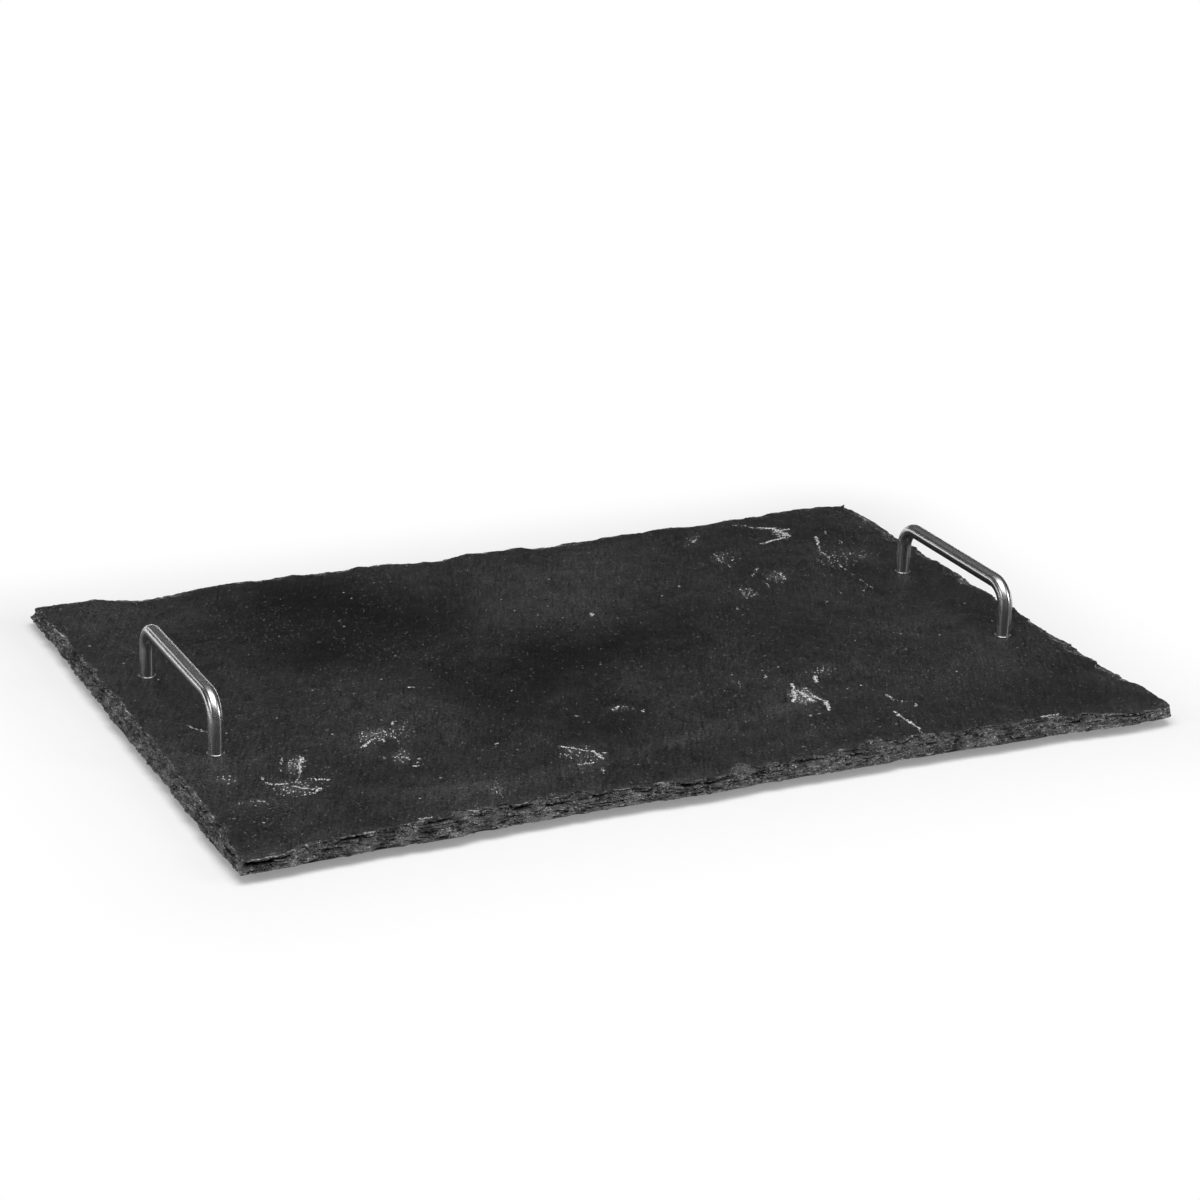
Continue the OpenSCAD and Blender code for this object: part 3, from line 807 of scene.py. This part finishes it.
slab = wrapped_strip()
print("squares in the struck edge:", len(slab.faces))

# %% [markdown]
# ## The split faces
# Between the strip's two inner rims lie the split faces. Each is a plain grid, holed round the
# four bores, and joined to the rim and to the bores by a fill of triangles. The grid is fine
# enough to carry the low waves that splitting leaves in the stone.

# %% Fill the top face and the underside
BORE_R = 2.5 * MM
BORE_STEPS = 32
HOLE_R = 5.5 * MM
GRID_HALF = (0.222, 0.150)
TOP_SQUARE, UNDER_SQUARE = 3 * MM, 5 * MM


def depth_inside(spots, ring):
    """How far each spot lies inside a ring of the strip, below 0 outside it."""
    nearest = np.array([np.argmin(((ring - spot) ** 2).sum(axis=1)) for spot in spots])
    return ((spots - ring[nearest]) * inward[nearest]).sum(axis=1)


def split_face(bm, ring, height, square, facing):
    """A grid that keeps clear of the ring and the bores, joined to both by a fill."""
    steps = [round(2 * half / square) for half in GRID_HALF]
    verts = bmesh.ops.create_grid(bm, x_segments=steps[0], y_segments=steps[1], size=1.0)["verts"]
    for vert in verts:
        vert.co = (vert.co.x * GRID_HALF[0], vert.co.y * GRID_HALF[1], height)
    faces = list({f for v in verts for f in v.link_faces})
    hearts = np.array([f.calc_center_median()[:2] for f in faces])
    clear = depth_inside(hearts, ring[:, :2]) > 1.1 * square
    clear &= np.linalg.norm(hearts[:, None] - leg_axes, axis=2).min(axis=1) > HOLE_R
    bmesh.ops.delete(bm, geom=[f for f, kept in zip(faces, clear) if not kept], context="FACES")
    for x, y in leg_axes:
        bmesh.ops.create_circle(bm, segments=BORE_STEPS, radius=BORE_R,
                                matrix=Matrix.Translation((x, y, height)))
    loose = [e for e in bm.edges if len(e.link_faces) < 2
             and all(abs(v.co.z - height) < 0.01 * MM for v in e.verts)]
    filled = bmesh.ops.triangle_fill(bm, use_beauty=True, use_dissolve=False, edges=loose,
                                     normal=(0, 0, facing))
    return len(filled["geom"])


top_height = rim_heights[-1]
joined = [split_face(slab, rows[-1], top_height, TOP_SQUARE, 1),
          split_face(slab, rows[0], slab_low, UNDER_SQUARE, -1)]
print("filled on top and below:", joined)

# %% Line the four bores


def line_bores(bm):
    """A wall from the top face's bores down to the underside's."""
    for x, y in leg_axes:
        near = [e for e in bm.edges if e.is_boundary
                and all(abs((v.co.xy - Vector((x, y))).length - BORE_R) < 0.02 * MM for v in e.verts)]
        bmesh.ops.bridge_loops(bm, edges=near)


line_bores(slab)
print("open edges left on the slab:", sum(e.is_boundary for e in slab.edges))

# %% Low waves in the split faces
REST_R = 9 * MM
WAVE_DEPTH, UNDER_SHARE = 0.32 * MM, 0.6
# Broad, small and fine waves: length, width, their own place in the noise, and share
SPLIT_WAVES = [(0.075, 0.055, 0, 0.9), (0.022, 0.028, 5, 0.35), (0.008, 0.011, 9, 0.15)]
foot_places = [middle(f"{corner}_foot").xy for corner in CORNERS]
rest_places = [Vector(axis) for axis in leg_axes] + foot_places


def wave(x, y, seed):
    """How far the split face lies below its highest plane, from 0 to 1."""
    below = 0.5
    for length, width, shift, share in SPLIT_WAVES:
        below += share * noise.noise(Vector((x / length, y / width, seed + shift)))
    return min(max(below, 0), 1)


def lay_waves(bm, depth):
    """Waves pressed into both split faces, except where a leg, a washer or a foot rests."""
    for vert in bm.verts:
        on_top = abs(vert.co.z - top_height) < 0.03 * MM
        below = abs(vert.co.z - slab_low) < 0.001 * MM
        if not (on_top or below):
            continue
        clear = min((vert.co.xy - place).length for place in rest_places)
        share = min(max((clear - REST_R) / REST_R, 0), 1)
        sink = depth * share * wave(vert.co.x, vert.co.y, 2.0 if on_top else 8.0)
        vert.co.z += -sink if on_top else UNDER_SHARE * sink


lay_waves(slab, WAVE_DEPTH)
slab.normal_update()
tread = slab.faces.layers.float.new("tread")
for face in slab.faces:
    face[tread] = 1.0 if abs(face.normal.z) > 0.85 else 0.0
board = finished(slab, "hewn_slate_slab", "slate_board", slate, sharp_deg=28)
print("slab triangles:", sum(len(p.vertices) - 2 for p in board.data.polygons))

# %% [markdown]
# ## Satin steel
# The handles are bent from steel rod that was polished along its length. Light runs along such
# a rod in long soft streaks, so the finish follows the rod and not the room. Each point of a
# handle keeps its place on the rod as an attribute: two numbers across and one along.

# %% The finish of the rods
ROD_GREYS = (grey(0.54), grey(0.64))


def rod_finish():
    """Steel with fine lines along the rod, and a sheen that is drawn out across them."""
    material, tree, shader, place = new_finish("satin_rod_steel")
    on_rod = drawn_from(tree, "on_rod", "Vector")
    lines = cloud(tree, on_rod, (0.0004, 0.0004, 0.012), detail=3, roughness=0.6)
    scuffs = cloud(tree, on_rod, (0.0012, 0.0012, 0.006), detail=4, roughness=0.7)
    tint = span(tree, plus(tree, lines, sway(tree, scuffs, 0.6)), 0.3, 0.7)
    rough = plus(tree, 0.23, sway(tree, lines, 0.03), sway(tree, scuffs, 0.04))
    wire(tree, shader, blend(tree, tint, *ROD_GREYS), rough, lines, 0.08, 0.006 * MM)
    shader.inputs["Metallic"].default_value = 1.0
    shader.inputs["Anisotropic"].default_value = 0.9
    tree.links.new(drawn_from(tree, "along_rod", "Vector"), shader.inputs["Tangent"])
    return material


rod_steel = rod_finish()
print("finish:", rod_steel.name)

# %% [markdown]
# ## The handles
# A handle is one rod with two bends. It starts as a circle at the foot of the front leg, which
# is drawn up the leg, spun through a quarter turn, drawn along the bar, spun again and drawn
# down the rear leg. The feet have a small chamfer, and a tapped hole runs up into each leg.

# %% Draw a rod along its path
ROD_STEPS = 64
BEND_R = 11 * MM
BEND_STEPS = 24
FOOT_CHAMFER = 0.4 * MM
TAPPED_R = 2.05 * MM
TAPPED_DEPTH = 12 * MM


def draw_on(bm, ring, move, scale=1.0):
    """The ring of edges drawn out by a move, and scaled about its own middle."""
    drawn = bmesh.ops.extrude_edge_only(bm, edges=ring)["geom"]
    verts = [g for g in drawn if isinstance(g, bmesh.types.BMVert)]
    bmesh.ops.translate(bm, verts=verts, vec=move)
    heart = sum((v.co for v in verts), Vector()) / len(verts)
    bmesh.ops.scale(bm, verts=verts, vec=(scale, scale, scale), space=Matrix.Translation(-heart))
    return [g for g in drawn if isinstance(g, bmesh.types.BMEdge) and all(v in verts for v in g.verts)]


# %% Where a point lies on the rod


def place_on_rod(point, heart, bar_half, leg_l):
    """Two numbers across the rod and one along it from the bar's middle, and the way it runs there."""
    x, y, z = point - heart
    side = 1 if y >= 0 else -1
    y = abs(y)
    bend_y = bar_half - BEND_R
    if y <= bend_y:
        return Vector((x, z - (leg_l + BEND_R), side * y)), Vector((0, 1, 0))
    if z <= leg_l:
        run = bend_y + BEND_R * math.pi / 2 + leg_l - z
        return Vector((x, y - bar_half, side * run)), Vector((0, 0, -side))
    angle = math.atan2(y - bend_y, z - leg_l)
    out = math.hypot(y - bend_y, z - leg_l) - BEND_R
    way = Vector((0, math.cos(angle), -side * math.sin(angle)))
    return Vector((x, out, side * (bend_y + BEND_R * angle))), way


# %% Bend the two handles


def bent_rod(name, node):
    """A handle in the box of its fixed node."""
    low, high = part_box(node)
    rod_r = (high.x - low.x) / 2
    bar_half = (high.y - low.y) / 2 - rod_r
    leg_l = high.z - low.z - rod_r - BEND_R
    heart = base_point(node)
    bm = bmesh.new()
    start = heart - Vector((0, bar_half, 0))
    foot_r = rod_r - FOOT_CHAMFER
    bmesh.ops.create_circle(bm, segments=ROD_STEPS, radius=foot_r, matrix=Matrix.Translation(start))
    first = list(bm.edges)
    widen = rod_r / foot_r
    ring = draw_on(bm, first, (0, 0, FOOT_CHAMFER), widen)
    ring = draw_on(bm, ring, (0, 0, leg_l - FOOT_CHAMFER))
    for turn_y, move in ((-1, (0, 2 * (bar_half - BEND_R), 0)), (1, (0, 0, FOOT_CHAMFER - leg_l))):
        pivot = heart + Vector((0, turn_y * (bar_half - BEND_R), leg_l))
        verts = list({v for e in ring for v in e.verts})
        spun = bmesh.ops.spin(bm, geom=verts + ring, cent=pivot, axis=(-1, 0, 0), angle=math.pi / 2,
                              steps=BEND_STEPS, use_merge=False, use_duplicate=False)["geom_last"]
        ring = draw_on(bm, [g for g in spun if isinstance(g, bmesh.types.BMEdge)], move)
    last = draw_on(bm, ring, (0, 0, -FOOT_CHAMFER), 1 / widen)
    for foot in (first, last):
        mouth = draw_on(bm, foot, (0, 0, 0), TAPPED_R / foot_r)
        end = draw_on(bm, mouth, (0, 0, TAPPED_DEPTH))
        bmesh.ops.edgeloop_fill(bm, edges=end)
    bmesh.ops.remove_doubles(bm, verts=bm.verts, dist=0.001 * MM)
    on_rod = bm.verts.layers.float_vector.new("on_rod")
    along_rod = bm.verts.layers.float_vector.new("along_rod")
    for vert in bm.verts:
        vert[on_rod], vert[along_rod] = place_on_rod(vert.co, heart, bar_half, leg_l)
    return finished(bm, name, node, rod_steel, sharp_deg=30)


for end in ENDS:
    handle = bent_rod(f"{end}_rod_handle", f"{end}_handle")
    print(handle.name, "triangles:", sum(len(p.vertices) - 2 for p in handle.data.polygons))

# %% [markdown]
# ## Screws, washers and feet
# These are all turned or stamped round parts, so each is an outline spun once round its axis.
# The screw's head is then cut with a tapered cross, and its shank has the ridges of a thread.

# %% The finishes of the small steel parts and the rubber


def small_steel_finish(name, low, high, roughness):
    """Steel that is a little cloudy between two greys."""
    material, tree, shader, place = new_finish(name)
    cloudy = cloud(tree, place, 0.0011, detail=4, roughness=0.65)
    rough = plus(tree, times(tree, cloud(tree, place, 0.0004), 0.2), roughness)
    wire(tree, shader, blend(tree, cloudy, grey(low), grey(high)), rough, cloudy, 0.2, 0.03 * MM)
    shader.inputs["Metallic"].default_value = 1.0
    return material


def rubber_finish():
    """Black rubber with a fine grain and a trace of dust."""
    material, tree, shader, place = new_finish("black_rubber")
    fine = cloud(tree, place, 0.0007, detail=4, roughness=0.7)
    dusty = blend(tree, cloud(tree, place, 0.006, detail=3), grey(0.012), grey(0.030))
    wire(tree, shader, dusty, plus(tree, times(tree, fine, 0.25), 0.6), fine, 0.4, 0.08 * MM)
    return material


washer_steel = small_steel_finish("stamped_washer_steel", 0.60, 0.80, 0.18)
screw_steel = small_steel_finish("bright_screw_steel", 0.50, 0.68, 0.16)
rubber = rubber_finish()
print("finishes:", washer_steel.name, screw_steel.name, rubber.name)

# %% Spin an outline once round
ROUND_STEPS = 64


def turned(outline, heart, closed):
    """A round part: its half outline, in radius and height, spun about an upright axis."""
    bm = bmesh.new()
    verts = [bm.verts.new((heart.x + radius, heart.y, heart.z + height)) for radius, height in outline]
    pairs = zip(verts, verts[1:] + verts[:1] if closed else verts[1:])
    edges = [bm.edges.new(pair) for pair in pairs]
    bmesh.ops.spin(bm, geom=verts + edges, cent=heart, axis=(0, 0, 1), angle=2 * math.pi,
                   steps=ROUND_STEPS, use_merge=True, use_duplicate=False)
    bmesh.ops.remove_doubles(bm, verts=bm.verts, dist=0.001 * MM)
    return bm


# %% Outlines that the round parts share


def stand(node):
    """The point under the middle of a fixed round node, its radius and its height."""
    low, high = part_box(node)
    return base_point(node), (high.x - low.x) / 2, high.z - low.z


def heel(radius, round_r, base):
    """A quarter circle that rounds a lower rim, from its flat face up to its side."""
    angles = [math.radians(15 * step) for step in range(7)]
    return [(radius - round_r + round_r * math.sin(a), base + round_r - round_r * math.cos(a))
            for a in angles]


def rounded_ring(inner, outer, thick, edge):
    """A washer's outline with its corners taken off, from its lower face up."""
    return [(inner + edge, 0), (outer - edge, 0), (outer, edge), (outer, thick - edge),
            (outer - edge, thick), (inner + edge, thick), (inner, thick - edge), (inner, edge)]


# %% Washers
WASHER_BORE_R = 2.15 * MM
WASHER_EDGES = {"leg_washer": 0.12 * MM, "wide_washer": 0.15 * MM}

for corner in CORNERS:
    for kind, edge in WASHER_EDGES.items():
        heart, radius, thick = stand(f"{corner}_{kind}")
        finished(turned(rounded_ring(WASHER_BORE_R, radius, thick, edge), heart, True),
                 f"{corner}_round_{kind}", f"{corner}_{kind}", washer_steel)
print("washers made:", 2 * len(CORNERS))

# %% Screws with a cross in the head
HEAD_H = 2.4 * MM
HEAD_ROUND = 1.1 * MM
SHANK_R = 2.0 * MM
THREAD_PITCH = 0.7 * MM
THREAD_DEPTH = 0.35 * MM
TIP = 0.5 * MM
CROSS_L, CROSS_W, CROSS_DEPTH = 4.4 * MM, 0.9 * MM, 1.5 * MM
CROSS_TAPER = 0.55


def screw_outline(head_r, length):
    """From the head's outer face up to the tip, with height 0 under the head."""
    points = [(0, -HEAD_H), *heel(head_r, HEAD_ROUND, -HEAD_H), (head_r, 0), (SHANK_R, 0)]
    ridges = int((length - TIP) / THREAD_PITCH) - 1
    for ridge in range(ridges):
        foot = (ridge + 0.5) * THREAD_PITCH
        points += [(SHANK_R, foot), (SHANK_R - THREAD_DEPTH, foot + 0.5 * THREAD_PITCH)]
    return points + [(SHANK_R, length - TIP), (SHANK_R - TIP, length), (0, length)]


def cross_cutter(heart, depth):
    """A four-armed taper that leaves a driver's cross in the head."""
    bm = bmesh.new()
    for turn in (0, math.pi / 2):
        size = Matrix.Diagonal((CROSS_L, CROSS_W, 2 * depth, 1))
        place = Matrix.Translation(heart) @ Matrix.Rotation(turn, 4, "Z") @ size
        for vert in bmesh.ops.create_cube(bm, size=1.0, matrix=place)["verts"]:
            if vert.co.z > heart.z:
                vert.co.xy = heart.xy + (vert.co.xy - heart.xy) * CROSS_TAPER
    return bm


def cut_away(bm, cutter):
    """The bmesh with the cutter's shape taken out of it."""
    bmesh.ops.recalc_face_normals(bm, faces=bm.faces)
    body, tool = loose_object(bm, "body"), loose_object(cutter, "tool")
    cut = body.modifiers.new("cut", "BOOLEAN")
    cut.operation, cut.solver, cut.object = "DIFFERENCE", "EXACT", tool
    cut.use_self = True
    result = bmesh.new()
    result.from_mesh(body.evaluated_get(bpy.context.evaluated_depsgraph_get()).to_mesh())
    for thing in (body, tool):
        bpy.data.objects.remove(thing)
    # The cut leaves a few slivers between near points, which are closed up here
    bmesh.ops.remove_doubles(result, verts=result.verts, dist=0.001 * MM)
    bmesh.ops.dissolve_degenerate(result, dist=0.001 * MM, edges=result.edges)
    return result


for corner in CORNERS:
    base, head_r, length = stand(f"{corner}_screw")
    under_head = Vector((*base.xy, base.z + HEAD_H))
    face = under_head - Vector((0, 0, HEAD_H))
    blank = turned(screw_outline(head_r, length - HEAD_H), under_head, False)
    finished(cut_away(blank, cross_cutter(face, CROSS_DEPTH)), f"{corner}_pan_screw", f"{corner}_screw",
             screw_steel, recalc=False)
print("screws made:", len(CORNERS))

# %% Rubber feet
STAND_R = 5 * MM
FOOT_ROUND = 0.8 * MM
FLARE = 0.2 * MM


def foot_outline(top_r, height):
    """A foot's outline, from the round rim it stands on up to its glued face."""
    side = [(top_r - FLARE, height - 2 * FLARE), (top_r, height - FLARE), (top_r, height)]
    return [(0, 0), *heel(STAND_R, FOOT_ROUND, 0), *side, (0, height)]


for corner in CORNERS:
    heart, radius, height = stand(f"{corner}_foot")
    finished(turned(foot_outline(radius, height), heart, False),
             f"{corner}_rubber_foot", f"{corner}_foot", rubber)
print("feet made:", len(CORNERS))

# %% [markdown]
# ## The table and the light
# The board stands on a plain white table under soft studio light. Near the board the table takes
# light and shadow as any white surface does. Further off it is plain white to the camera and in
# reflections, because the lamps don't reach so far. The steel sees the near table dim, as under
# dark cards, and sees no bright table towards the camera. One large soft box hangs overhead
# towards the front. The room is a dim grey with a thin bright band at the horizon, except in
# front, and so the bars carry dark fields between thin bright lines.

# %% White table
TABLE_HALF = 30.0
TABLE_WHITE = 0.74
NEAR_IN_STEEL = 0.14
BOARD_HALF = (0.21, 0.14, 0)
# Where the near table goes over into plain white, from and to how far beside the board
FADE = {"seen": (0.012, 0.09), "in steel": (0.06, 0.22)}
DARK_FRONT = (-0.30, -0.05)


def glow(tree, level, strength=1.0):
    """A grey that shines by itself."""
    return add(tree, "ShaderNodeEmission", {"Color": grey(level), "Strength": strength}).outputs[0]


def either(tree, share, a, b):
    """The second shader over the first, by share."""
    return add(tree, "ShaderNodeMixShader", {0: share, 1: a, 2: b}).outputs[0]


def table_finish():
    """A matt white that catches shadows near the board and is plain white further off."""
    material, tree, shader, place = new_finish("white_table")
    seen = add(tree, "ShaderNodeLightPath").outputs
    gloss = seen["Is Glossy Ray"]
    shown = highest(tree, seen["Is Camera Ray"], gloss, seen["Is Transmission Ray"])
    beside = vectors(tree, "SUBTRACT", vectors(tree, "ABSOLUTE", place), BOARD_HALF)
    beside = vectors(tree, "LENGTH", vectors(tree, "MAXIMUM", beside), result="Value")
    ahead = span(tree, add(tree, "ShaderNodeSeparateXYZ", {0: place}).outputs[1], *DARK_FRONT)
    in_steel = times(tree, span(tree, beside, *FADE["in steel"]), ahead)
    far = times(tree, shown, blend(tree, gloss, span(tree, beside, *FADE["seen"]), in_steel))
    matt = add(tree, "ShaderNodeBsdfDiffuse", {"Color": grey(TABLE_WHITE)})
    lift = glow(tree, 1.0, times(tree, shown, 1 - TABLE_WHITE))
    near = add(tree, "ShaderNodeAddShader", {0: matt.outputs[0], 1: lift}).outputs[0]
    near = either(tree, gloss, near, glow(tree, NEAR_IN_STEEL))
    look = either(tree, far, near, glow(tree, 1.0))
    tree.links.new(look, tree.nodes["Material Output"].inputs["Surface"])
    tree.nodes.remove(shader)
    return material


bm = bmesh.new()
bmesh.ops.create_grid(bm, x_segments=1, y_segments=1, size=TABLE_HALF)
table = loose_object(bm, "table")
table.data.materials.append(table_finish())
print("table:", 2 * TABLE_HALF, "m wide")

# %% Soft boxes


def soft_box(name, place, aim, width, height, share):
    """A square lamp that gives a white surface facing it that share of plain white."""
    reach = Vector(aim) - Vector(place)
    data = bpy.data.lights.new(name, "AREA")
    data.shape, data.size, data.size_y = "RECTANGLE", width, height
    data.energy = math.pi ** 2 * reach.length_squared * share
    lamp = put_in_scene(name, data)
    lamp.location = place
    lamp.rotation_euler = reach.to_track_quat("-Z", "Y").to_euler()
    lamp.visible_camera = False


# Name, place, what it is aimed at, width, height and share of plain white
SOFT_BOXES = [
    ("overhead_soft_box", (-0.10, -0.30, 1.30), (0, 0, 0), 1.6, 1.2, 0.95),
    ("left_soft_box", (-1.35, -0.25, 0.75), (0, 0, 0), 0.5, 0.5, 0.09),
    ("right_soft_box", (1.0, -0.90, 0.62), (0, 0, 0), 0.4, 0.5, 0.17),
    ("rear_soft_strip", (-0.43, 0.62, 0.27), (-0.19, 0, 0.03), 0.16, 0.09, 0.020),
]
for box in SOFT_BOXES:
    soft_box(*box)
print("soft boxes:", len(SOFT_BOXES))

# %% Room
ROOM_LOW, ROOM_HIGH = 0.030, 0.10
SKIRTING = 3.4
# From what height to what height, or from front to back, as parts of the way that one looks
WALLS, BAND, BAND_ENDS = (0.10, 0.55), (0.06, 0.02), (-0.45, 0.05)

world = bpy.data.worlds.new("studio_room")
world.use_nodes = True
room = world.node_tree
way = add(room, "ShaderNodeTexCoord").outputs["Generated"]
back, up = add(room, "ShaderNodeSeparateXYZ", {0: way}).outputs[1:]
level = span(room, up, *WALLS, ROOM_LOW, ROOM_HIGH)
band = times(room, span(room, up, *BAND, 0.0, SKIRTING), span(room, back, *BAND_ENDS))
room.nodes["Background"].inputs["Color"].default_value = grey(1.0)
room.links.new(plus(room, level, band), room.nodes["Background"].inputs["Strength"])
bpy.context.scene.world = world
bpy.context.scene.view_settings.view_transform = "Standard"
print("room from", ROOM_LOW, "at the horizon to", ROOM_HIGH, "overhead")
